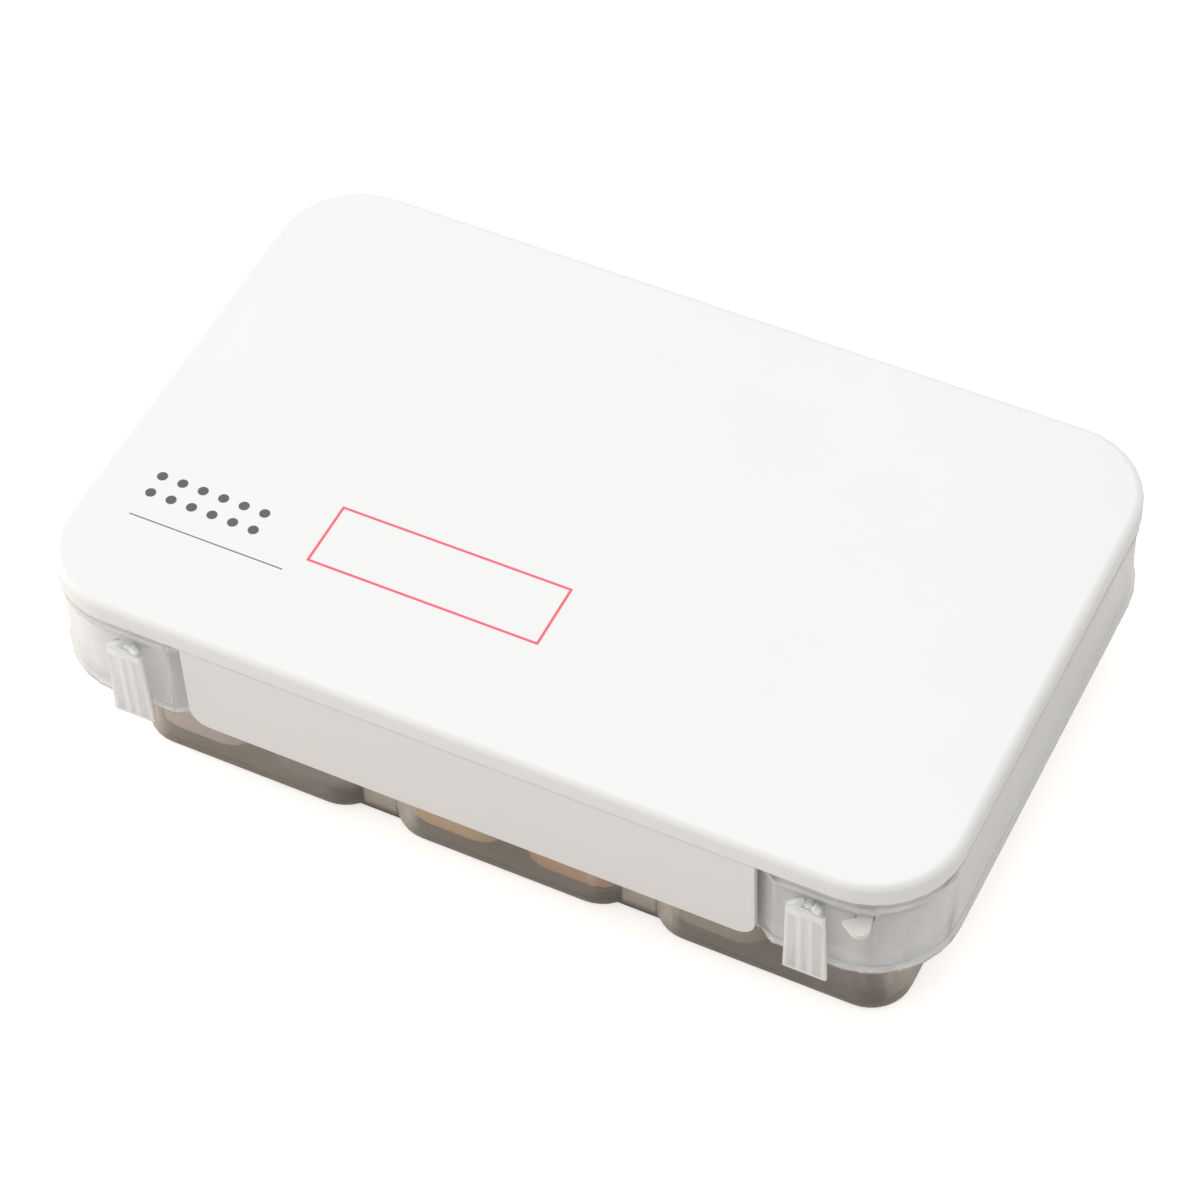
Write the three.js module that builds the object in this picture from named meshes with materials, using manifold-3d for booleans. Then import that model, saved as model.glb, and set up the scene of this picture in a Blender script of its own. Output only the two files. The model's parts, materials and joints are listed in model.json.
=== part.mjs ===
// A gouache paint set box: a white cover with a hanging front flap, on a clear frame that carries a mixing
// palette and two clips, on a clear tray whose three wells hold twelve sealed cups of paint.
// Millimetres, +Z up. The origin is the middle of the case's plan, on the table. The front, with the flap and
// the clips, faces -Y, and the hinges are at the back.

import * as THREE from "three";
import { mergeVertices } from "three/addons/utils/BufferGeometryUtils.js";
import Module from "manifold-3d";

const wasm = await Module();
wasm.setup();

// The case's plan, shared by the cover, the frame and the tray's flange
const caseLength = 190;
const caseWidth = 120.8;
const caseCorner = 18;
const frontCentre = 0.7; // the flap, its recess and the clips sit a little to the right of the middle
const flapInset = 34.6; // from the case's ends to the flap, behind which frame and flange step back
const recessRamp = 3.5;
const recessDepth = 2.2;
const recessCorner = 2.4;

// Clearances
const partingGap = 0.3; // between cover, frame and tray
const fitGap = 0.4; // round a piece that drops into another
const turnGap = 0.3; // beside a piece that turns
const overrun = 1; // how far a cutting body runs past what it cuts
const root = 0.8; // how far a leaf, rib or stub reaches into what carries it

// Tray
const wellHeight = 16.2; // from the table to the flange's underside
const flangeThick = 1.5;
const wellCount = 3;
const wellLeft = 18.3; // from the case's left end to the first well
const wellRight = 6.1; // from the last well to the case's right end
const wellSpacing = 2.7;
const wellLip = 0.2; // how far the flange stands out past the wells where it steps back
const wellCorner = 9;
const wellWall = 1;
const wellFloor = 1;
const wellDraft = 0.3;
const wellEdge = 2.5; // the round between a well's wall and its underside
const dividerThick = 1.6;
const tieThick = 1.6; // the ties that join the wells, front and back
const tieInset = 3.3;
const tieLift = 0.8;

// Paint cups
const cupColumns = 2; // in each well
const cupRows = 2;
const cupMargin = 0.5; // from a well's outer walls to the cups' rims
const cupCorner = 7;
const cupWall = 0.7;
const cupDraft = 0.45;
const cupEdge = 1.3;
const cupRim = 0.4; // how far the rim stands out all round
const cupRimThick = 1;
const cupRimDrop = 0.3; // from the flange's top to the rim's top
const rimSpacing = 0.3; // between the rims of the two cups in a well
const paintDepth = 12;
const paintGap = 0.1;
const filmThick = 0.2;

// Frame
const frameHeight = 20;
const frameInset = 0.6; // how far its wall stands back from the cover's side
const frameWall = 1.6;
const beadDrop = 1.2; // from the frame's top edge to the bead round it
const beadHeight = 1.5;
const beadReach = 0.35; // how far the bead stands out of the wall
const ledgeWidth = 2.2;
const ledgeThick = 1.4;

// Mixing palette
const paletteDrop = 4.3; // from the frame's top edge to the palette's top
const paletteThick = 1.2;
const paletteColumns = 3;
const paletteRows = 2;
const paletteMargin = 6;
const paletteRib = 4;
const panDepth = 6.8;
const panCorner = 6;
const panDraft = 1;
const panEdge = 1.6;
const tabWidth = 5.5;
const tabReach = 4.3; // out of the frame's wall
const tabNeck = 2.9; // its width where it leaves the wall
const tabHook = 1.5; // from the wall to the point that it has on the side of the clip
const tabSlant = 2.7; // from that point across to its round end
const tabPoint = 0.3; // the round of that point
const tabTurn = 14; // degrees round the case's corner
const tabRoundShare = 0.34; // of the tab's width

// Cover and flap
const rimHeight = 4.7;
const rimWall = 1.8;
const coverThick = 1.6;
const coverEdge = 1.8;
const spigotWall = 1.2; // the rib under the cover that centres it in the frame
const spigotDepth = 2;
const spigotEnd = 40; // it stops short of the hinge side
const flapHeight = 21.45; // from its hinge line to its lower edge
const flapThick = 1.3;
const flapCorner = 4;

// Clips
const clipInset = 23.3; // from the case's ends to the clips' middles
const clipTopWidth = 8.6;
const clipFootWidth = 9.8;
const clipFlare = 1.6; // how much wider each side is at the front than at the wall
const clipDepth = 2.6;
const clipStandOff = 0.3; // from the flange's edge to the clip's back
const clipDrop = 3; // from the frame's top edge to the clip's top
const clipReach = 1.1; // below the flange's underside
const clipFace = 1; // thickness of the front plate
const clipSide = 0.8;
const clipRib = 1.1;
const clipRibPitch = 2.2; // between the middles of its two ribs
const clipNose = 0.8; // height of the catch at the foot
const clipCorner = 0.35;
const clipPinDrop = 1.1; // from the clip's top to its pin
const clipPinSetback = 0.6; // from the clip's back to its pin
const clipPinRadius = 0.38;
const lugWidth = 1.4;
const lugRadius = 1.05;
const lugBore = 0.68;

// Hinges at the back: the frame on the tray, and the cover on the frame
const trayHinge = {
  inset: 35, // from the case's ends
  standOff: 2.6,
  lift: 1.2,
  radius: 2.2,
  pin: 1.1,
  bore: 1.4,
  leaf: 10,
  ear: 4,
};
const coverHinge = {
  inset: 50,
  standOff: 2,
  drop: 2.3,
  radius: 1.7,
  pin: 0.9,
  bore: 1.15,
  leaf: 8,
  ear: 3,
};
const pinReachShare = 0.85; // of an ear's width, taken up by the pin that turns in it
const leafRise = 0.5; // how far a leaf's foot stays above the edge of the wall that carries it
const coverLeafHeight = 2.5;
const trayLeafHeight = 3.7;

// Smoothness
const cornerSteps = 8;
const jogSteps = 3;
const cupSteps = 3;
const roundSteps = 3;
const eyeSteps = 9;
const boreSteps = 16;
const smallSteps = 12;
const leastRadius = 0.05;

// Heights worked out from the sizes above
const flangeTop = wellHeight + flangeThick;
const frameBottom = flangeTop + partingGap;
const frameTop = frameBottom + frameHeight;
const rimBottom = frameTop + partingGap;
const coverTop = rimBottom + rimHeight;
const paletteTop = frameTop - paletteDrop;
const paletteUnder = paletteTop - paletteThick;
const clipTop = frameTop - clipDrop;
const clipFoot = wellHeight - clipReach;
const halfLength = caseLength / 2;
const halfWidth = caseWidth / 2;
const quarterTurn = Math.PI / 2;

// Materials
const material = (color, roughness, opacity = 1) =>
  new THREE.MeshStandardMaterial({ color, roughness, metalness: 0, opacity, transparent: opacity < 1 });
const whitePlastic = material("#f1f2f1", 0.45);
const palettePlastic = material("#e6e5e1", 0.4);
const clearTray = material("#cfccc4", 0.25, 0.45);
const clearFrame = material("#dfe1df", 0.35, 0.6);
const clearClip = material("#dcdbd6", 0.35, 0.7);
const clearCup = material("#e4e2de", 0.3, 0.5);
const film = material("#eceff0", 0.15, 0.4);
const paintColours = [
  ["#a98f93", "#57505a", "#b08a62", "#c07a3c", "#7f7a68", "#4a4a50"],
  ["#e9e6dd", "#d8b23a", "#b6423a", "#4f7b4a", "#3b6c9a", "#2c2c33"],
];

// An outline is a list of corners, counterclockwise, each with the radius and the steps of its round.
const corner = (x, y, radius, steps) => ({ x, y, radius, steps });

function rectangle(west, south, east, north, radius, steps) {
  return [
    corner(west, south, radius, steps),
    corner(east, south, radius, steps),
    corner(east, north, radius, steps),
    corner(west, north, radius, steps),
  ];
}

function sidesAt(corners, index) {
  const here = corners[index];
  const before = corners[(index + corners.length - 1) % corners.length];
  const after = corners[(index + 1) % corners.length];
  const into = new THREE.Vector2(here.x - before.x, here.y - before.y).normalize();
  const out = new THREE.Vector2(after.x - here.x, after.y - here.y).normalize();
  return { here, into, out, turn: Math.atan2(into.cross(out), into.dot(out)) };
}

// The same outline with every side moved inwards by a distance, or outwards by a negative one.
function inset(corners, distance) {
  return corners.map((_, index) => {
    const { here, into, out, turn } = sidesAt(corners, index);
    const shift = distance / (1 + into.dot(out));
    const radius = here.radius - Math.sign(turn) * distance;
    return {
      ...here,
      x: here.x - (into.y + out.y) * shift,
      y: here.y + (into.x + out.x) * shift,
      radius: Math.max(radius, leastRadius),
    };
  });
}

function trace(corners) {
  return corners.flatMap((_, index) => {
    const { here, into, turn } = sidesAt(corners, index);
    const side = Math.sign(turn);
    const setback = here.radius * Math.tan(Math.abs(turn) / 2);
    const start = new THREE.Vector2(here.x, here.y).addScaledVector(into, -setback);
    const outwards = new THREE.Vector2(into.y, -into.x).multiplyScalar(side * here.radius);
    const centre = start.clone().sub(outwards);
    const points = [];
    for (let step = 0; step <= here.steps; step += 1) {
      points.push(start.clone().rotateAround(centre, (turn * step) / here.steps));
    }
    return points;
  });
}

// A closed body through a run of outlines with as many points each, from the first cap to the last.
function loft(rings) {
  const outlines = rings.map((ring) => trace(ring.corners));
  const count = outlines[0].length;
  const vertices = outlines.flatMap((points, level) => points.flatMap(({ x, y }) => [x, y, rings[level].z]));
  const faces = [];
  const cap = (level, flip) => {
    for (const [a, b, c] of THREE.ShapeUtils.triangulateShape(outlines[level], [])) {
      faces.push(level * count + a, level * count + (flip ? c : b), level * count + (flip ? b : c));
    }
  };
  cap(0, true);
  for (let level = 0; level + 1 < rings.length; level += 1) {
    for (let point = 0; point < count; point += 1) {
      const a = level * count + point;
      const b = level * count + ((point + 1) % count);
      faces.push(a, b, b + count, a, b + count, a + count);
    }
  }
  cap(rings.length - 1, false);
  const geometry = new THREE.BufferGeometry();
  geometry.setAttribute("position", new THREE.Float32BufferAttribute(vertices, 3));
  geometry.setIndex(faces);
  return geometry;
}

function solidOf(geometry) {
  geometry.deleteAttribute("normal");
  geometry.deleteAttribute("uv");
  const merged = mergeVertices(geometry);
  const vertProperties = new Float32Array(merged.attributes.position.array);
  const triVerts = new Uint32Array(merged.index.array);
  return new wasm.Manifold(new wasm.Mesh({ numProp: 3, vertProperties, triVerts }));
}

const slab = (corners, low, high) => solidOf(loft([{ corners, z: low }, { corners, z: high }]));
const joined = (solids) => solids.reduce((whole, piece) => whole.add(piece));
const cut = (solid, tools) => tools.reduce((rest, tool) => rest.subtract(tool), solid);
const ring = (corners, low, high, wall) =>
  slab(corners, low, high).subtract(slab(inset(corners, wall), low - overrun, high + overrun));

// Rings of a quarter round that runs from a wall to a flat, below it or above it.
function roundRings(corners, flat, radius, upwards) {
  const rings = [];
  for (let step = 0; step <= roundSteps; step += 1) {
    const angle = (quarterTurn * step) / roundSteps;
    const rise = radius * (1 - Math.sin(angle));
    const z = upwards ? flat - rise : flat + rise;
    rings.push({ corners: inset(corners, radius * (1 - Math.cos(angle))), z });
  }
  return upwards ? rings : rings.reverse();
}

// A round bar along X, centred on a point.
function bar(x, y, z, radius, length, steps) {
  const geometry = new THREE.CylinderGeometry(radius, radius, length, steps);
  geometry.rotateZ(quarterTurn);
  geometry.translate(x, y, z);
  return solidOf(geometry);
}

// A hinge leaf or ear: an eye on the pin's axis, and a web that runs off it at a tangent to the face that
// carries it. It is drawn in distances out of that face.
function leaf({ x, width, y, z, radius, bore = 0, face, low, high }) {
  const reach = Math.abs(y - face);
  const tangent = (height) => Math.acos(Math.min(1, radius / Math.hypot(reach, height - z)));
  const start = Math.atan2(low - z, -reach) + tangent(low);
  const end = Math.atan2(high - z, -reach) - tangent(high);
  const sweep = THREE.MathUtils.euclideanModulo(end - start, 2 * Math.PI);
  const edge = [new THREE.Vector2(-root, low), new THREE.Vector2(0, low)];
  for (let step = 0; step <= eyeSteps; step += 1) {
    const angle = start + (sweep * step) / eyeSteps;
    edge.push(new THREE.Vector2(reach + radius * Math.cos(angle), z + radius * Math.sin(angle)));
  }
  edge.push(new THREE.Vector2(0, high), new THREE.Vector2(-root, high));
  const shape = new THREE.Shape(edge);
  if (bore > 0) {
    shape.holes.push(new THREE.Path().absarc(reach, z, bore, 0, 2 * Math.PI, true));
  }
  const settings = { depth: width, bevelEnabled: false, curveSegments: boreSteps };
  const geometry = new THREE.ExtrudeGeometry(shape, settings);
  const front = y < face;
  geometry.translate(0, 0, -width / 2);
  geometry.applyMatrix4(new THREE.Matrix4().makeBasis(
    new THREE.Vector3(0, front ? -1 : 1, 0),
    new THREE.Vector3(0, 0, 1),
    new THREE.Vector3(front ? -1 : 1, 0, 0),
  ));
  geometry.translate(x, face, 0);
  return solidOf(geometry);
}

// The plan of the case: a plain one for the cover, and one that steps back behind the flap.
const coverPlan = rectangle(-halfLength, -halfWidth, halfLength, halfWidth, caseCorner, cornerSteps);
const flapLength = caseLength - 2 * flapInset;
const recessEast = frontCentre + flapLength / 2;
const recessWest = frontCentre - flapLength / 2;
const recessFace = -halfWidth + recessDepth;
const steppedPlan = [
  corner(-halfLength, -halfWidth, caseCorner, cornerSteps),
  corner(recessWest - recessRamp, -halfWidth, recessCorner, jogSteps),
  corner(recessWest, recessFace, recessCorner, jogSteps),
  corner(recessEast, recessFace, recessCorner, jogSteps),
  corner(recessEast + recessRamp, -halfWidth, recessCorner, jogSteps),
  corner(halfLength, -halfWidth, caseCorner, cornerSteps),
  corner(halfLength, halfWidth, caseCorner, cornerSteps),
  corner(-halfLength, halfWidth, caseCorner, cornerSteps),
];
const framePlan = inset(steppedPlan, frameInset);
const frameInside = inset(framePlan, frameWall);
const dropInPlan = inset(frameInside, fitGap);

// Hinge axes
const trayAxis = { y: halfWidth + trayHinge.standOff, z: frameBottom + trayHinge.lift };
const coverAxis = { y: halfWidth + coverHinge.standOff, z: rimBottom - coverHinge.drop };
const hingeSides = [-1, 1];

const hingeCentres = (hinge) => hingeSides.map((side) => side * (halfLength - hinge.inset));

// The pair of bored ears at each hinge, beside the other piece's leaf
function ears(hinge, axis, face, low, high) {
  const { ear: width, radius, bore } = hinge;
  const offset = hinge.leaf / 2 + turnGap + width / 2;
  const eyes = hingeCentres(hinge).flatMap((centre) => hingeSides.map((side) => centre + side * offset));
  return eyes.map((x) => leaf({ x, width, ...axis, radius, bore, face, low, high }));
}

// The leaf at each hinge, with the pin that is moulded on it
function leaves(hinge, axis, face, low, high) {
  const pinLength = hinge.leaf + 2 * (turnGap + hinge.ear * pinReachShare);
  return hingeCentres(hinge).flatMap((centre) => [
    leaf({ x: centre, width: hinge.leaf, ...axis, radius: hinge.radius, face, low, high }),
    bar(centre, axis.y, axis.z, hinge.pin, pinLength, boreSteps),
  ]);
}

// Tray
const wellLength = (caseLength - wellLeft - wellRight - (wellCount - 1) * wellSpacing) / wellCount;
const wellWidth = caseWidth - 2 * (recessDepth + wellLip);
const wellHalf = wellLength / 2;
const wellSouth = -wellWidth / 2;
const wellCentre = (index) => -halfLength + wellLeft + wellHalf + index * (wellLength + wellSpacing);

function wellPlan(index) {
  const middle = wellCentre(index);
  return rectangle(middle - wellHalf, wellSouth, middle + wellHalf, -wellSouth, wellCorner, cornerSteps);
}

function wellOutside(index) {
  const plan = wellPlan(index);
  const foot = inset(plan, wellDraft);
  return solidOf(loft([...roundRings(foot, 0, wellEdge, false), { corners: plan, z: wellHeight + root }]));
}

// The hollow of a well, from its floor up through the flange, on each side of the divider
function wellHollow(index) {
  const top = inset(wellPlan(index), wellWall);
  const foot = inset(top, wellDraft);
  const edge = wellEdge - wellWall;
  const mouth = { corners: top, z: flangeTop + overrun };
  const hollow = solidOf(loft([...roundRings(foot, wellFloor, edge, false), mouth]));
  const middle = wellCentre(index);
  const reach = wellHalf + overrun;
  const half = dividerThick / 2;
  const divider = rectangle(middle - reach, -half, middle + reach, half, leastRadius, 1);
  return hollow.subtract(slab(divider, 0, flangeTop + overrun + root));
}

function tie(index, side) {
  const west = wellCentre(index) + wellHalf - wellCorner;
  const east = wellCentre(index + 1) - wellHalf + wellCorner;
  const face = side * (wellWidth / 2 - tieInset);
  const south = Math.min(face, face - side * tieThick);
  const corners = rectangle(west, south, east, south + tieThick, leastRadius, 1);
  return slab(corners, tieLift, wellHeight + root);
}

function baseTray() {
  const wells = Array.from({ length: wellCount }, (_, index) => index);
  const gaps = wells.slice(1).map((index) => index - 1);
  const body = joined([
    slab(steppedPlan, wellHeight, flangeTop),
    ...wells.map(wellOutside),
    ...gaps.flatMap((index) => hingeSides.map((side) => tie(index, side))),
  ]);
  const hollow = cut(body, wells.map(wellHollow));
  return joined([hollow, ...ears(trayHinge, trayAxis, halfWidth, wellHeight, flangeTop)]);
}

// Paint cups, with their paint and their sealing films
const rimLength = (wellLength - 2 * (wellWall + cupMargin) - (cupColumns - 1) * rimSpacing) / cupColumns;
const rimWidth = (wellWidth - 2 * wellWall - dividerThick) / cupRows - cupMargin - fitGap;
const rimTop = flangeTop - cupRimDrop;
const cupHeight = rimTop - wellFloor;

function rimPlan(well, column, row) {
  const west = wellCentre(well) - wellHalf + wellWall + cupMargin + column * (rimLength + rimSpacing);
  const south = wellSouth + wellWall + cupMargin + row * (rimWidth + 2 * fitGap + dividerThick);
  return rectangle(west, south, west + rimLength, south + rimWidth, cupCorner + cupRim, cupSteps);
}

const cupPlan = (well, column, row) => inset(rimPlan(well, column, row), cupRim);

function paintCup(well, column, row) {
  const rim = rimPlan(well, column, row);
  const plan = cupPlan(well, column, row);
  const foot = inset(plan, cupDraft);
  const inside = inset(plan, cupWall);
  const insideFoot = inset(foot, cupWall);
  const floor = wellFloor + cupWall;
  return loft([
    { corners: inset(foot, cupEdge), z: wellFloor },
    { corners: foot, z: wellFloor + cupEdge },
    { corners: plan, z: rimTop - cupRimThick },
    { corners: rim, z: rimTop - cupRimThick },
    { corners: rim, z: rimTop },
    { corners: inside, z: rimTop },
    { corners: insideFoot, z: floor + cupEdge },
    { corners: inset(insideFoot, cupEdge), z: floor },
  ]);
}

function paint(well, column, row) {
  const inside = inset(cupPlan(well, column, row), cupWall + paintGap);
  const foot = inset(inside, cupDraft);
  const floor = wellFloor + cupWall;
  const topInset = (cupDraft * (cupHeight - paintDepth)) / cupHeight;
  return loft([
    { corners: inset(foot, cupEdge), z: floor },
    { corners: foot, z: floor + cupEdge + paintGap },
    { corners: inset(inside, topInset), z: floor + paintDepth },
  ]);
}

function sealingFilm(well, column, row) {
  const corners = rimPlan(well, column, row);
  return loft([{ corners, z: rimTop }, { corners, z: rimTop + filmThick }]);
}

// Frame
const clipCentres = hingeSides.map((side) => frontCentre + side * (halfLength - clipInset));
const clipBack = -halfWidth - clipStandOff;
const clipFront = clipBack - clipDepth;
const clipAxis = { y: clipBack - clipPinSetback, z: clipTop - clipPinDrop };
const frameFront = -halfWidth + frameInset;
const frameBack = halfWidth - frameInset;

const tabAngle = THREE.MathUtils.degToRad(tabTurn);

// The tab's outline points away from the centre of the case's front right corner. Its point stands clear of
// the wall, on the side of the clip, so that a fingertip can pull at it.
function tabPlan(grow) {
  const radius = caseCorner - frameInset;
  const half = tabWidth / 2;
  const tip = -radius - tabReach;
  const inside = -radius + frameWall + fitGap + root;
  const outside = -radius - fitGap - leastRadius;
  const round = tabWidth * tabRoundShare;
  const corners = [
    corner(-half, -radius - tabHook, tabPoint, cupSteps),
    corner(tabSlant - half, tip, round, cupSteps),
    corner(half, tip, round, cupSteps),
    corner(half, inside, leastRadius, 1),
    corner(half - tabNeck, inside, leastRadius, 1),
    corner(half - tabNeck, outside, leastRadius, 1),
  ];
  const turn = new THREE.Vector2();
  return inset(corners, -grow).map((each) => {
    turn.set(each.x, each.y).rotateAround(new THREE.Vector2(), tabAngle);
    return { ...each, x: halfLength - caseCorner + turn.x, y: -halfWidth + caseCorner + turn.y };
  });
}

function lidFrame() {
  const shelf = inset(frameInside, -root);
  const beadTop = frameTop - beadDrop;
  const lug = {
    ...clipAxis,
    width: lugWidth,
    radius: lugRadius,
    bore: lugBore,
    face: frameFront,
    low: clipAxis.z - lugRadius,
    high: clipAxis.z + lugRadius,
  };
  const lugs = clipCentres.map((x) => leaf({ ...lug, x }));
  const leafLow = frameBottom + leafRise;
  const earLow = coverAxis.z - coverHinge.radius;
  const earHigh = frameTop - leafRise;
  const body = joined([
    ring(framePlan, frameBottom, frameTop, frameWall),
    ring(inset(framePlan, -beadReach), beadTop - beadHeight, beadTop, beadReach + root),
    ring(shelf, paletteUnder - ledgeThick, paletteUnder, ledgeWidth + root),
    ...lugs,
    ...leaves(trayHinge, trayAxis, frameBack, leafLow, leafLow + trayLeafHeight),
    ...ears(coverHinge, coverAxis, frameBack, earLow, earHigh),
  ]);
  return body.subtract(slab(tabPlan(fitGap), paletteUnder, paletteTop + turnGap));
}

// Mixing palette
const paletteBox = new THREE.Box2().setFromPoints(trace(dropInPlan));
const panSouth = recessFace + frameInset + frameWall + fitGap + paletteMargin;
const paletteLength = paletteBox.max.x - paletteBox.min.x;
const panLength = (paletteLength - 2 * paletteMargin + paletteRib) / paletteColumns - paletteRib;
const panWidth = (paletteBox.max.y - paletteMargin - panSouth + paletteRib) / paletteRows - paletteRib;

function panPlan(column, row) {
  const west = paletteBox.min.x + paletteMargin + column * (panLength + paletteRib);
  const south = panSouth + row * (panWidth + paletteRib);
  return rectangle(west, south, west + panLength, south + panWidth, panCorner, cupSteps);
}

function pan(plan, top, floor) {
  const foot = inset(plan, panDraft);
  return solidOf(loft([...roundRings(foot, floor, panEdge, false), { corners: plan, z: top }]));
}

function mixingPalette() {
  const plans = [];
  for (let column = 0; column < paletteColumns; column += 1) {
    for (let row = 0; row < paletteRows; row += 1) {
      plans.push(panPlan(column, row));
    }
  }
  const floor = paletteTop - panDepth;
  const outsides = plans.map((plan) => pan(inset(plan, -paletteThick), paletteTop, floor - paletteThick));
  const insides = plans.map((plan) => pan(plan, paletteTop + overrun, floor));
  const plate = joined([
    slab(dropInPlan, paletteUnder, paletteTop),
    slab(tabPlan(0), paletteUnder, paletteTop),
    ...outsides,
  ]);
  return cut(plate, insides);
}

// Cover
function lidCover() {
  const rim = { corners: coverPlan, z: rimBottom };
  const shell = solidOf(loft([rim, ...roundRings(coverPlan, coverTop, coverEdge, true)]));
  const inside = slab(inset(coverPlan, rimWall), rimBottom - overrun, coverTop - coverThick);
  const spigotTop = coverTop - coverThick + root;
  const spigot = ring(dropInPlan, frameTop - spigotDepth, spigotTop, spigotWall);
  const hingeSide = rectangle(-halfLength, spigotEnd, halfLength, halfWidth, leastRadius, 1);
  const openSpigot = spigot.subtract(slab(hingeSide, frameTop - spigotDepth - overrun, spigotTop + overrun));
  return joined([
    shell.subtract(inside),
    openSpigot,
    ...leaves(coverHinge, coverAxis, halfWidth, rimBottom, rimBottom + coverLeafHeight),
  ]);
}

// Flap: a plate whose top edge is rounded about its hinge line
const flapRadius = flapThick / 2;
const flapAxis = { y: -halfWidth + flapRadius, z: rimBottom - turnGap - flapRadius };

function frontFlap() {
  const foot = flapAxis.z - flapHeight;
  const half = flapLength / 2;
  const face = [
    corner(-half, foot, flapCorner, cornerSteps),
    corner(half, foot, flapCorner, cornerSteps),
    corner(half, flapAxis.z, leastRadius, 1),
    corner(-half, flapAxis.z, leastRadius, 1),
  ];
  const settings = { depth: flapThick, bevelEnabled: false };
  const plate = new THREE.ExtrudeGeometry(new THREE.Shape(trace(face)), settings);
  plate.rotateX(quarterTurn);
  plate.translate(frontCentre, flapAxis.y + flapRadius, 0);
  const bead = bar(frontCentre, flapAxis.y, flapAxis.z, flapRadius, flapLength, smallSteps);
  return solidOf(plate).add(bead);
}

// Clips
function clipPlan(centre, width, wall, back, front) {
  const nearWall = width / 2 - clipFlare - wall;
  const atFront = width / 2 - wall;
  return [
    corner(centre - atFront, front, clipCorner, 1),
    corner(centre + atFront, front, clipCorner, 1),
    corner(centre + nearWall, back, clipCorner, 1),
    corner(centre - nearWall, back, clipCorner, 1),
  ];
}

function clipPocket(centre, low, high) {
  const inner = clipFront + clipFace;
  const rings = [
    { corners: clipPlan(centre, clipFootWidth, clipSide, clipBack + overrun, inner), z: low },
    { corners: clipPlan(centre, clipTopWidth, clipSide, clipBack + overrun, inner), z: high },
  ];
  const half = clipRib / 2;
  const ribBack = clipBack + 2 * overrun;
  const ribs = hingeSides.map((side) => {
    const middle = centre + (side * clipRibPitch) / 2;
    const rib = rectangle(middle - half, inner - overrun, middle + half, ribBack, leastRadius, 1);
    return slab(rib, low - overrun, high + overrun);
  });
  return cut(solidOf(loft(rings)), ribs);
}

function clip(centre) {
  const body = solidOf(
    loft([
      { corners: clipPlan(centre, clipFootWidth, 0, clipBack, clipFront), z: clipFoot },
      { corners: clipPlan(centre, clipTopWidth, 0, clipBack, clipFront), z: clipTop },
    ]),
  );
  const notchFoot = clipAxis.z - lugRadius - turnGap;
  const half = lugWidth / 2 + turnGap;
  const notchFront = clipAxis.y - lugRadius - turnGap;
  const notch = rectangle(centre - half, notchFront, centre + half, clipBack + overrun, leastRadius, 1);
  const hollow = cut(body, [
    clipPocket(centre, clipFoot + clipNose, notchFoot),
    slab(notch, notchFoot, clipTop + overrun),
  ]);
  const pinLength = lugWidth + 2 * (turnGap + root);
  return hollow.add(bar(centre, clipAxis.y, clipAxis.z, clipPinRadius, pinLength, smallSteps));
}

// The model: one named mesh for each piece
const model = new THREE.Group();

function geometryOf(shape) {
  if (shape.isBufferGeometry) {
    return shape;
  }
  const mesh = shape.getMesh();
  const geometry = new THREE.BufferGeometry();
  geometry.setAttribute("position", new THREE.BufferAttribute(new Float32Array(mesh.vertProperties), 3));
  geometry.setIndex([...mesh.triVerts]);
  return geometry;
}

function addPiece(name, shape, look) {
  const geometry = geometryOf(shape);
  geometry.computeVertexNormals();
  const mesh = new THREE.Mesh(geometry, look);
  mesh.name = name;
  model.add(mesh);
}

addPiece("base_tray", baseTray(), clearTray);
for (let row = 0; row < cupRows; row += 1) {
  for (let well = 0; well < wellCount; well += 1) {
    for (let column = 0; column < cupColumns; column += 1) {
      const place = row * wellCount * cupColumns + well * cupColumns + column + 1;
      const colour = paintColours[row][well * cupColumns + column];
      addPiece(`paint_cup_${place}`, paintCup(well, column, row), clearCup);
      addPiece(`paint_${place}`, paint(well, column, row), material(colour, 0.5));
      addPiece(`cup_film_${place}`, sealingFilm(well, column, row), film);
    }
  }
}
addPiece("lid_frame", lidFrame(), clearFrame);
addPiece("mixing_palette", mixingPalette(), palettePlastic);
addPiece("lid_cover", lidCover(), whitePlastic);
addPiece("front_flap", frontFlap(), whitePlastic);
addPiece("clip_left", clip(clipCentres[0]), clearClip);
addPiece("clip_right", clip(clipCentres[1]), clearClip);

export default model;
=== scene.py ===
"""Looks of a gouache paint set box.

The cover and its flap are white, the frame and its two clips are cloudy and clear, and the tray is
smoky and clear, so that the paints in its wells show through.
"""

import json
import math

import bmesh
import bpy
from mathutils import Matrix, Vector


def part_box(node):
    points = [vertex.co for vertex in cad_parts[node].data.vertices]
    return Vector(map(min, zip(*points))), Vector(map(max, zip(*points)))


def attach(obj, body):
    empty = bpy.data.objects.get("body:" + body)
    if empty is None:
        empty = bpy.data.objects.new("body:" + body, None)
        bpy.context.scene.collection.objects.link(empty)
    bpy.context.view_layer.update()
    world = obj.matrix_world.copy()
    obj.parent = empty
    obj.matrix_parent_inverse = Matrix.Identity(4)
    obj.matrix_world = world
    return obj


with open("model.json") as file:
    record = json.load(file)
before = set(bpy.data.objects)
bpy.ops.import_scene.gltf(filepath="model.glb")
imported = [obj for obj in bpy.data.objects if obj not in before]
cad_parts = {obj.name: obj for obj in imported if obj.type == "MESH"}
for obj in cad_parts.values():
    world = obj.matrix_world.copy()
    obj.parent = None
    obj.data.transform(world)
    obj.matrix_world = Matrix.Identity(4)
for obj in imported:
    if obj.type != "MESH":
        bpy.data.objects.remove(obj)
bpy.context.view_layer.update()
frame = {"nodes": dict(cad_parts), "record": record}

MM = 0.001
cover_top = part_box("lid_cover")[1].z
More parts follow.
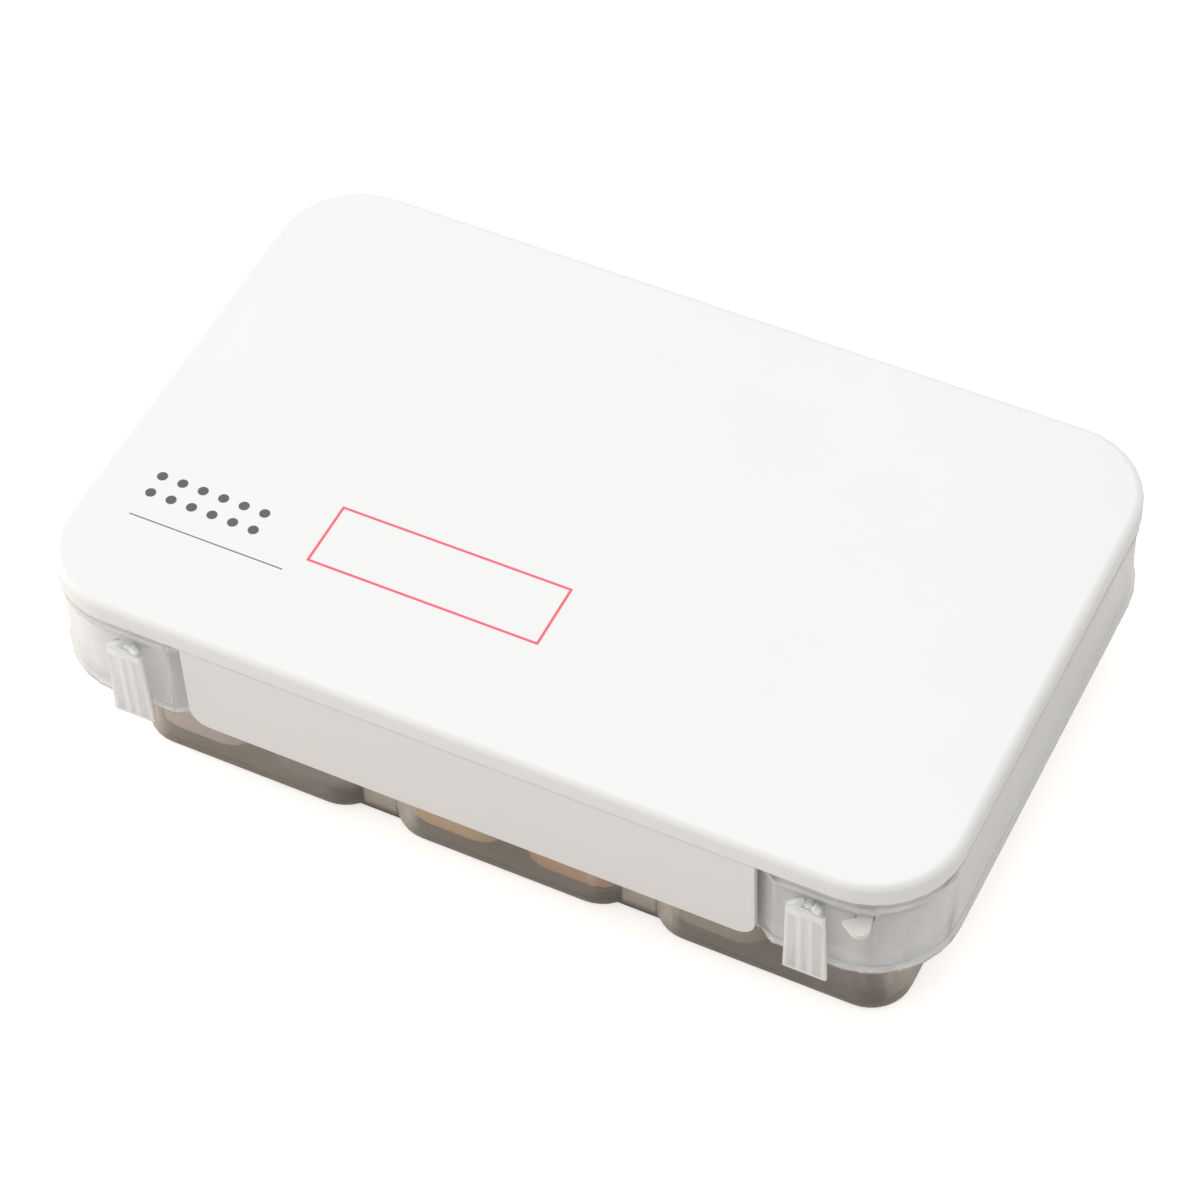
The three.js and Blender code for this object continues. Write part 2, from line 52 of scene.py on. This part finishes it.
tray_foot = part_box("base_tray")[0].z

# The camera: the angles it looks from, its lens, and how far across, down and away from it the
# middle of the cover's top lies
VIEW_AZIMUTH = math.radians(28.46)
VIEW_ELEVATION = math.radians(50.78)
VIEW_ROLL = math.radians(-2.93)
LENS = 119.685
SENSOR = 36.0
NEAREST = 0.01
COVER_FROM_LENS = Vector((-0.3165, -16.735, 772.51)) * MM

# Colours, in linear light
WHITE = (0.86, 0.867, 0.86, 1.0)
FLAP_WHITE = (0.83, 0.83, 0.82, 1.0)
PALETTE_WHITE = (0.77, 0.755, 0.735, 1.0)
CLOUDY = (0.955, 0.97, 0.97, 1.0)
# painted shade: a greyer cloudy for a clip's channels, for the shade seen through the hollow behind
# them
CHANNEL_SHADE_CLOUDY = (0.90, 0.92, 0.93, 1.0)
SMOKY = (0.72, 0.655, 0.58, 1.0)
# painted shade: the dark brown for the foot of the tray's wells, where the tray stands in shadow on
# the floor
FOOT_SHADE_COLOR = (0.10, 0.07, 0.045, 1.0)
CUP_CLEAR = (0.94, 0.935, 0.93, 1.0)
FILM_CLEAR = (0.95, 0.96, 0.96, 1.0)
CORAL = (0.93, 0.13, 0.19, 1.0)
PRINT_GREY = (0.10, 0.10, 0.105, 1.0)
FLOOR = (0.80, 0.75, 0.70, 1.0)
FULL_WHITE = (1.0, 1.0, 1.0, 1.0)
SCREEN_GAMMA = 2.2

# How much a paint of the front row is brightened or darkened from the record's colour, in red,
# green and blue, to be seen as that colour through a well: painted light and shade, standing in for
# the light that reaches each paint through the plastic
PAINT_LIGHT_LIFTS = {
    1: (2.2, 2.45, 2.45),
    2: (0.6, 0.7, 0.8),
    3: (2.1, 2.2, 1.9),
    4: (1.45, 1.6, 0.8),
    5: (1.7, 1.75, 1.6),
    6: (0.3, 0.4, 0.5),
}
NO_LIGHT_LIFT = (1.0, 1.0, 1.0)
CUPS = range(1, 13)

# How much cloudy plastic hides, seen square on and at a slant, where more of it is in the way, and
# between which slants that changes; then the same for the tray's smoky plastic, and how much the
# thin cups and films hide
CLOUDY_HIDES = {"square": 0.36, "slant": 0.76, "start": 0.3, "end": 0.85}
TRAY_HIDES = {"square": 0.14, "slant": 0.92, "start": 0.5, "end": 0.97}
CUP_HIDES = 0.06
FILM_HIDES = 0.16

# Clear plastic scatters more light than it stops: for a lamp's light, what it hides is cut to this
# share
LIGHT_SHARE = 0.15

# The tray gets a painted shade at the foot of its wells, for the shadow under it where it stands on
# the floor. It hides more at the webs between the wells, and its flange is frosted, from a little
# under the cups' rims
FOOT_SHADE_FROM = tray_foot + 0.8 * MM
FOOT_SHADE_TO = tray_foot + 3.2 * MM
FOOT_SHADE_HIDES = 0.4
FROST_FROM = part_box("paint_cup_1")[1].z - 1.5 * MM
FROST_TO = FROST_FROM + MM
FLANGE_HIDES = 0.7
WEB_CUPS = ((2, 3), (4, 5))  # on either side of each web
WEB_HIDES = 0.6
WEB_HALF = 3.2 * MM
WEB_SOFT = 1.0 * MM

# A clip seen from its front: half its width, where its ribs and edges lie across that half, how far
# its pockets stop short of its foot and its head, how soft their ends are, and how much more its
# solid stretches hide
CLIP_HALF = 4.7 * MM
CLIP_STOPS = ((0.05, 0.0), (0.17, 1.0), (0.30, 1.0), (0.42, 0.0), (0.66, 0.0), (0.82, 1.0))
CLIP_FOOT = 0.9 * MM
CLIP_HEAD = 2.6 * MM
CLIP_EDGE = 0.4 * MM
CLIP_SOLID = 0.3

# Textures, as repeats to a metre: cloudy patches, the wandering of the gloss, and the mould's grain
PATCH_SCALE = 38.0
PATCH_DETAIL = 3.0
GLOSS_SCALE = 160.0
GLOSS_DETAIL = 2.0
GRAIN_DETAIL = 4.0
GRAIN_DEPTH = 0.0004

# How a piece's mesh is smoothed: what counts as one point, as one plane and as an edge, and the
# round that the edges of an opaque piece get
WELD_REACH = 0.002 * MM
PLANE_ANGLE = math.radians(0.6)
EDGE_ANGLE = math.radians(32.0)
EDGE_STEPS = 3
FACE_WEIGHT = 80
COVER_ROUND = 0.35 * MM
FLAP_ROUND = 0.6 * MM
PALETTE_ROUND = 0.3 * MM
PAINT_ROUND = 0.3 * MM

# The print on the cover, in the millimetres of its plan: a coral box, and rows of dots with a rule
# below them
BOX_LEFT = -46.0
BOX_LOW = -34.0
BOX_WIDTH = 50.0
BOX_HEIGHT = 15.0
BOX_LINE = 0.55
DOTS_LEFT = -82.0
DOTS_HIGH = -27.0
DOT_PITCH = 4.6
DOT_RADIUS = 1.1
DOT_SIDES = 24
DOT_COLUMNS = 6
DOT_ROWS = 2
RULE_DROP = 2.4 * DOT_PITCH
RULE_LENGTH = 34.0
RULE_LINE = 0.25
INK_HEIGHT = 0.02 * MM

# Round lamps, in metres and watts. The left one is kept out of the gloss, because the cover would
# mirror it.
LAMPS = {
    "overhead": {
        "place": (-0.1, 0.25, 1.3),
        "size": 1.1,
        "power": 6.8,
        "color": (1.0, 1.0, 1.0),
        "in_gloss": True,
    },
    "front_fill": {
        "place": (-0.55, -1.2, 0.45),
        "size": 0.9,
        "power": 0.95,
        "color": (1.0, 0.84, 0.70),
        "in_gloss": True,
    },
    "left_fill": {
        "place": (-1.26, -0.25, 0.3),
        "size": 0.7,
        "power": 8.2,
        "color": (1.0, 0.96, 0.92),
        "in_gloss": False,
    },
}

# How strong the world is for the object and for the camera, and the floor's glow for the camera,
# with the shares of it that show in a gloss and through glass
WORLD_LIGHT = 0.62
WORLD_SEEN = 1.0
FLOOR_GLOW = 0.62
FLOOR_IN_GLOSS = 0.1
FLOOR_THROUGH_GLASS = 0.15
FLOOR_HALF = 3.0
FLOOR_DROP = 0.05 * MM
ONE_LAYER = 0.5  # less than this many see-through surfaces lie before what is seen bare


def cleared_tree(owner):
    """The node tree of a material or world, emptied."""
    owner.use_nodes = True
    owner.node_tree.nodes.clear()
    return owner.node_tree


def add_node(tree, kind, **values):
    """A node with its settings, and with the sockets of these names set."""
    node = tree.nodes.new(kind)
    for name, value in values.items():
        if hasattr(node, name):
            setattr(node, name, value)
        else:
            node.inputs[name.replace("_", " ")].default_value = value
    return node


def surface_noise(tree, scale, detail):
    place = add_node(tree, "ShaderNodeTexCoord")
    noise = add_node(tree, "ShaderNodeTexNoise", Scale=scale, Detail=detail)
    tree.links.new(place.outputs["Object"], noise.inputs["Vector"])
    return noise.outputs["Fac"]


def spanned(tree, source, first, last, start=0.0, end=1.0):
    """A value that goes from the first to the last as its source goes from start to end."""
    span = add_node(
        tree, "ShaderNodeMapRange", From_Min=start, From_Max=end, To_Min=first, To_Max=last
    )
    tree.links.new(source, span.inputs["Value"])
    return span.outputs["Result"]


def reckoned(tree, operation, *terms):
    """A sum, product or other reckoning with numbers and the values of other nodes."""
    step = add_node(tree, "ShaderNodeMath", operation=operation)
    for socket, term in zip(step.inputs, terms):
        if isinstance(term, float):
            socket.default_value = term
        else:
            tree.links.new(term, socket)
    return step.outputs["Value"]


def mixed(tree, share, first, second):
    """A colour between two, each a colour of its own or another node's."""
    mix = add_node(tree, "ShaderNodeMix", data_type="RGBA")
    for socket, value in {"Factor": share, "A": first, "B": second}.items():
        if isinstance(value, tuple):
            mix.inputs[socket].default_value = value
        else:
            tree.links.new(value, mix.inputs[socket])
    return mix.outputs["Result"]


def resting_place(tree):
    """Where a point of the piece lies at rest, as X, Y and Z."""
    place = add_node(tree, "ShaderNodeTexCoord")
    parts = add_node(tree, "ShaderNodeSeparateXYZ")
    tree.links.new(place.outputs["Object"], parts.inputs["Vector"])
    return parts.outputs


def distance(tree, value, mark):
    return reckoned(tree, "ABSOLUTE", reckoned(tree, "SUBTRACT", value, mark))


def slanted(tree, square, slant, start, end):
    """A value for clear plastic that runs from one seen square on to one seen at a slant."""
    facing = add_node(tree, "ShaderNodeLayerWeight", Blend=0.5)
    return spanned(tree, facing.outputs["Facing"], square, slant, start, end)


def let_light_through(tree, hidden):
    """What the plastic hides, but less for the light that lamps send through it."""
    path = add_node(tree, "ShaderNodeLightPath")
    share = spanned(tree, path.outputs["Is Shadow Ray"], 1.0, LIGHT_SHARE)
    return reckoned(tree, "MULTIPLY", hidden, share)


def plastic(
    name,
    color,
    roughness,
    spread=0.06,
    shade=0.97,
    grain=900.0,
    relief=0.012,
    hides=None,
    **sockets,
):
    """Moulded plastic: patches a shade darker, a wandering roughness and the mould's fine grain."""
    material = bpy.data.materials.new(name)
    tree = cleared_tree(material)
    shader = add_node(tree, "ShaderNodeBsdfPrincipled", **sockets)
    if hides:
        tree.links.new(slanted(tree, **hides), shader.inputs["Alpha"])
    darker = (color[0] * shade, color[1] * shade, color[2] * shade, 1.0)
    patches = surface_noise(tree, PATCH_SCALE, PATCH_DETAIL)
    tree.links.new(mixed(tree, patches, color, darker), shader.inputs["Base Color"])
    smudges = surface_noise(tree, GLOSS_SCALE, GLOSS_DETAIL)
    gloss = spanned(tree, smudges, roughness - spread, roughness + spread)
    tree.links.new(gloss, shader.inputs["Roughness"])
    bump = add_node(tree, "ShaderNodeBump", Strength=relief, Distance=GRAIN_DEPTH)
    tree.links.new(surface_noise(tree, grain, GRAIN_DETAIL), bump.inputs["Height"])
    tree.links.new(bump.outputs["Normal"], shader.inputs["Normal"])
    output = add_node(tree, "ShaderNodeOutputMaterial")
    tree.links.new(shader.outputs["BSDF"], output.inputs["Surface"])
    return material


def relink(material, socket, change):
    """Put what this change makes of a shader socket's own value in that value's place."""
    tree = material.node_tree
    shader = next(node for node in tree.nodes if node.type == "BSDF_PRINCIPLED")
    target = shader.inputs[socket]
    tree.links.new(change(tree, target.links[0].from_socket), target)


def frame_material():
    material = plastic("frame_plastic", CLOUDY, roughness=0.34, hides=CLOUDY_HIDES)
    relink(material, "Alpha", let_light_through)
    return material


def clip_mask(tree, centre, low, high):
    """1 over a clip's solid edges and its two ribs, and 0 over the channels, hollow behind."""
    place = resting_place(tree)
    ramp = add_node(tree, "ShaderNodeValToRGB")
    stops = ramp.color_ramp.elements
    while len(stops) < len(CLIP_STOPS):
        stops.new(1.0)
    for stop, (across, thick) in zip(stops, CLIP_STOPS):
        stop.position = across
        stop.color = (thick, thick, thick, 1.0)
    across_half = reckoned(tree, "DIVIDE", distance(tree, place["X"], centre), CLIP_HALF)
    tree.links.new(across_half, ramp.inputs["Fac"])
    foot = spanned(tree, place["Z"], 1.0, 0.0, low - CLIP_EDGE, low)
    head = spanned(tree, place["Z"], 0.0, 1.0, high, high + CLIP_EDGE)
    return reckoned(tree, "MAXIMUM", ramp.outputs["Color"], reckoned(tree, "MAXIMUM", foot, head))


def clip_material(node):
    """The frame's cloudy plastic, paler where it is solid, with a greyer painted shade where it is
    hollow behind.
    """
    low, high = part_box(node)
    material = plastic(f"{node}_plastic", CLOUDY, roughness=0.22, shade=0.98, hides=CLOUDY_HIDES)
    tree = material.node_tree
    solid = clip_mask(tree, (low.x + high.x) / 2, low.z + CLIP_FOOT, high.z - CLIP_HEAD)
    more = reckoned(tree, "MULTIPLY", solid, CLIP_SOLID)

    def hide_more(tree, hidden):
        return spanned(tree, reckoned(tree, "ADD", hidden, more), 0.0, 1.0)

    # painted shade: the channels, hollow behind, get the greyer cloudy
    relink(material, "Base Color", lambda tree, paint: mixed(tree, solid, CHANNEL_SHADE_CLOUDY, paint))
    relink(material, "Alpha", hide_more)
    relink(material, "Alpha", let_light_through)
    return material


def web_mask(tree):
    """1 at the two webs that join the wells, and 0 over the wells themselves."""
    webs = [
        (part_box(f"paint_cup_{left}")[1].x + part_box(f"paint_cup_{right}")[0].x) / 2
        for left, right in WEB_CUPS
    ]
    middle, apart = sum(webs) / 2, (webs[1] - webs[0]) / 2
    off_middle = distance(tree, resting_place(tree)["X"], middle)
    off_web = distance(tree, off_middle, apart)
    return spanned(tree, off_web, 1.0, 0.0, WEB_HALF, WEB_HALF + WEB_SOFT)


def tray_material():
    """Smoky clear plastic: a painted shade at its wells' feet, cloudier at its webs and frosted at
    the top.
    """
    material = plastic(
        "tray_plastic", SMOKY, roughness=0.2, spread=0.05, shade=0.85, hides=TRAY_HIDES
    )
    tree = material.node_tree
    level = resting_place(tree)["Z"]
    # painted shade: the wells' feet turn dark brown and hide more, for the shadow under the tray
    foot_shade = spanned(tree, level, 1.0, 0.0, FOOT_SHADE_FROM, FOOT_SHADE_TO)
    frost = spanned(tree, level, 0.0, 1.0, FROST_FROM, FROST_TO)
    relink(material, "Base Color", lambda tree, paint: mixed(tree, foot_shade, paint, FOOT_SHADE_COLOR))
    relink(material, "Base Color", lambda tree, paint: mixed(tree, frost, paint, CLOUDY))
    for mask, hides in ((web_mask(tree), WEB_HIDES), (frost, FLANGE_HIDES), (foot_shade, FOOT_SHADE_HIDES)):
        more = spanned(tree, mask, 0.0, hides)
        relink(material, "Alpha", lambda tree, hidden: reckoned(tree, "MAXIMUM", hidden, more))
    relink(material, "Alpha", let_light_through)
    return material


def paint_material(place):
    """Thick paint in the record's colour, with painted light and shade for the front row: soft
    streaks and a slightly uneven skin.
    """
    slots = {entry["slot"]: entry["base_color"] for entry in frame["record"]["materials"]}
    # painted light and shade: the front row's colours are lifted or lowered for the light that
    # reaches them through the plastic
    light_lifts = PAINT_LIGHT_LIFTS.get(place, NO_LIGHT_LIFT)
    color = [light_lift * share ** SCREEN_GAMMA for light_lift, share in zip(light_lifts, slots[f"paint_{place}"])]
    return plastic(
        f"paint_{place}",
        (*color, 1.0),
        roughness=0.42,
        spread=0.1,
        shade=0.82,
        grain=260.0,
        relief=0.12,
        Coat_Weight=0.15,
        Coat_Roughness=0.3,
    )


def dress(node, material, edge_round=0.0):
    """Smooth the piece's curves, round its edges where a width is given, and set its material."""
    piece = frame["nodes"][node]
    for polygon in piece.data.polygons:
        polygon.use_smooth = True
    weld = piece.modifiers.new("one_skin", "WELD")
    weld.merge_threshold = WELD_REACH
    if edge_round:
        planes = piece.modifiers.new("whole_faces", "DECIMATE")
        planes.decimate_type = "DISSOLVE"
        planes.angle_limit = PLANE_ANGLE
        edges = piece.modifiers.new("soft_edges", "BEVEL")
        edges.width = edge_round
        edges.segments = EDGE_STEPS
        edges.limit_method = "ANGLE"
        edges.angle_limit = EDGE_ANGLE
        edges.miter_outer = "MITER_ARC"
        edges.use_clamp_overlap = True
    else:
        piece.data.set_sharp_from_angle(angle=EDGE_ANGLE)
    normals = piece.modifiers.new("even_shading", "WEIGHTED_NORMAL")
    normals.keep_sharp = not edge_round
    normals.weight = FACE_WEIGHT
    piece.data.materials.clear()
    piece.data.materials.append(material)


def dress_everything():
    cover = plastic("cover_plastic", WHITE, roughness=0.36, Coat_Weight=0.08, Coat_Roughness=0.25)
    flap = plastic("flap_plastic", FLAP_WHITE, roughness=0.42)
    palette = plastic("palette_plastic", PALETTE_WHITE, roughness=0.3)
    cups = plastic("cup_plastic", CUP_CLEAR, roughness=0.14, Alpha=CUP_HIDES)
    films = plastic("film_plastic", FILM_CLEAR, roughness=0.12, shade=0.98, Alpha=FILM_HIDES)
    dress("lid_cover", cover, COVER_ROUND)
    dress("front_flap", flap, FLAP_ROUND)
    dress("mixing_palette", palette, PALETTE_ROUND)
    dress("lid_frame", frame_material())
    dress("base_tray", tray_material())
    for clip in ("clip_left", "clip_right"):
        dress(clip, clip_material(clip))
    for place in CUPS:
        dress(f"paint_cup_{place}", cups)
        dress(f"cup_film_{place}", films)
        dress(f"paint_{place}", paint_material(place), PAINT_ROUND)


def ink(name, color):
    return plastic(name, color, roughness=0.5, spread=0.05, shade=0.94, grain=1400.0, relief=0.02)


def flat_print(name, outlines, material):
    """Ink on the cover's top: each closed outline is a thin raised patch."""
    mesh = bpy.data.meshes.new(name)
    shape = bmesh.new()
    low = cover_top
    high = low + INK_HEIGHT
    for outline in outlines:
        bottom = [shape.verts.new((x, y, low)) for x, y in outline]
        top = [shape.verts.new((x, y, high)) for x, y in outline]
        shape.faces.new(top)
        for index in range(len(outline)):
            after = (index + 1) % len(outline)
            shape.faces.new((bottom[index], bottom[after], top[after], top[index]))
    shape.to_mesh(mesh)
    shape.free()
    piece = bpy.data.objects.new(name, mesh)
    bpy.context.scene.collection.objects.link(piece)
    mesh.materials.append(material)
    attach(piece, "cover")


def rectangle(x, y, width, height):
    """Corners of a patch, counterclockwise from its lower left one, given in millimetres."""
    right, high = x + width, y + height
    corners = ((x, y), (right, y), (right, high), (x, high))
    return [(across * MM, along * MM) for across, along in corners]


def disc(x, y):
    """The rim of a dot round this point, given in millimetres."""
    turns = [2 * math.pi * step / DOT_SIDES for step in range(DOT_SIDES)]
    return [
        ((x + DOT_RADIUS * math.cos(turn)) * MM, (y + DOT_RADIUS * math.sin(turn)) * MM)
        for turn in turns
    ]


def print_marks():
    """Plain marks on the lid: an empty coral box, a dot for each cup and a thin rule."""
    side = BOX_HEIGHT - 2 * BOX_LINE
    box = [
        rectangle(BOX_LEFT, BOX_LOW, BOX_WIDTH, BOX_LINE),
        rectangle(BOX_LEFT, BOX_LOW + BOX_HEIGHT - BOX_LINE, BOX_WIDTH, BOX_LINE),
        rectangle(BOX_LEFT, BOX_LOW + BOX_LINE, BOX_LINE, side),
        rectangle(BOX_LEFT + BOX_WIDTH - BOX_LINE, BOX_LOW + BOX_LINE, BOX_LINE, side),
    ]
    flat_print("print_box", box, ink("coral_ink", CORAL))
    dots = [
        disc(DOTS_LEFT + DOT_PITCH * column, DOTS_HIGH - DOT_PITCH * row)
        for row in range(DOT_ROWS)
        for column in range(DOT_COLUMNS)
    ]
    rule = rectangle(DOTS_LEFT - DOT_RADIUS, DOTS_HIGH - RULE_DROP, RULE_LENGTH, RULE_LINE)
    flat_print("print_dots", dots + [rule], ink("grey_ink", PRINT_GREY))


def add_camera():
    """The camera, set up from its angles and from where it sees the middle of the cover's top."""
    right = Vector((math.cos(VIEW_AZIMUTH), math.sin(VIEW_AZIMUTH), 0.0))
    forward = Vector((
        -math.sin(VIEW_AZIMUTH) * math.cos(VIEW_ELEVATION),
        math.cos(VIEW_AZIMUTH) * math.cos(VIEW_ELEVATION),
        -math.sin(VIEW_ELEVATION),
    ))
    down = forward.cross(right)
    across = right * math.cos(VIEW_ROLL) - down * math.sin(VIEW_ROLL)
    along = right * math.sin(VIEW_ROLL) + down * math.cos(VIEW_ROLL)
    turn = Matrix((across, -along, -forward)).transposed().to_4x4()
    offset = across * COVER_FROM_LENS.x + along * COVER_FROM_LENS.y + forward * COVER_FROM_LENS.z
    data = bpy.data.cameras.new("photo_view")
    data.lens = LENS
    data.sensor_width = SENSOR
    data.clip_start = NEAREST
    camera = bpy.data.objects.new("photo_view", data)
    camera.matrix_world = Matrix.Translation(Vector((0.0, 0.0, cover_top)) - offset) @ turn
    bpy.context.scene.collection.objects.link(camera)
    bpy.context.scene.camera = camera


def add_lamp(name, place, size, power, color, in_gloss):
    """A round lamp that faces the middle of the cover's top."""
    data = bpy.data.lights.new(name, "AREA")
    data.shape = "DISK"
    data.size = size
    data.energy = power
    data.color = color
    lamp = bpy.data.objects.new(name, data)
    lamp.location = place
    direction = Vector((0.0, 0.0, cover_top)) - Vector(place)
    lamp.rotation_euler = direction.to_track_quat("-Z", "Y").to_euler()
    lamp.visible_glossy = in_gloss
    bpy.context.scene.collection.objects.link(lamp)


def seen_directly(tree, gloss=1.0, through=1.0):
    """1 for what the camera sees with nothing before it, and these shares for gloss and glass."""
    path = add_node(tree, "ShaderNodeLightPath")
    shares = {"Is Camera Ray": 1.0, "Is Glossy Ray": gloss, "Is Transmission Ray": through}
    total = 0.0
    for ray, share in shares.items():
        total = reckoned(tree, "MULTIPLY_ADD", path.outputs[ray], share, total)
        total.node.use_clamp = True
    bare = reckoned(tree, "LESS_THAN", path.outputs["Transparent Depth"], ONE_LAYER)
    return reckoned(tree, "MULTIPLY", total, bare)


def add_world():
    world = bpy.data.worlds.new("studio")
    bpy.context.scene.world = world
    tree = cleared_tree(world)
    strength = spanned(tree, seen_directly(tree), WORLD_LIGHT, WORLD_SEEN)
    background = add_node(tree, "ShaderNodeBackground", Color=FULL_WHITE)
    tree.links.new(strength, background.inputs["Strength"])
    output = add_node(tree, "ShaderNodeOutputWorld")
    tree.links.new(background.outputs["Background"], output.inputs["Surface"])


def floor_material():
    """A pale floor that takes shadows, with a glow on top that makes it white to the eye."""
    material = bpy.data.materials.new("floor")
    tree = cleared_tree(material)
    diffuse = add_node(tree, "ShaderNodeBsdfDiffuse", Color=FLOOR)
    glow = add_node(tree, "ShaderNodeEmission", Color=FULL_WHITE)
    seen = seen_directly(tree, FLOOR_IN_GLOSS, FLOOR_THROUGH_GLASS)
    tree.links.new(spanned(tree, seen, 0.0, FLOOR_GLOW), glow.inputs["Strength"])
    total = add_node(tree, "ShaderNodeAddShader")
    tree.links.new(diffuse.outputs["BSDF"], total.inputs[0])
    tree.links.new(glow.outputs["Emission"], total.inputs[1])
    output = add_node(tree, "ShaderNodeOutputMaterial")
    tree.links.new(total.outputs["Shader"], output.inputs["Surface"])
    return material


def add_floor():
    mesh = bpy.data.meshes.new("floor")
    half, level = FLOOR_HALF, tray_foot - FLOOR_DROP
    plan = ((-half, -half), (half, -half), (half, half), (-half, half))
    mesh.from_pydata([(x, y, level) for x, y in plan], [], [(0, 1, 2, 3)])
    mesh.materials.append(floor_material())
    floor = bpy.data.objects.new("floor", mesh)
    bpy.context.scene.collection.objects.link(floor)


dress_everything()
print_marks()
add_camera()
add_world()
add_floor()
for lamp_name, lamp_values in LAMPS.items():
    add_lamp(lamp_name, **lamp_values)
bpy.context.scene.view_settings.view_transform = "Standard"
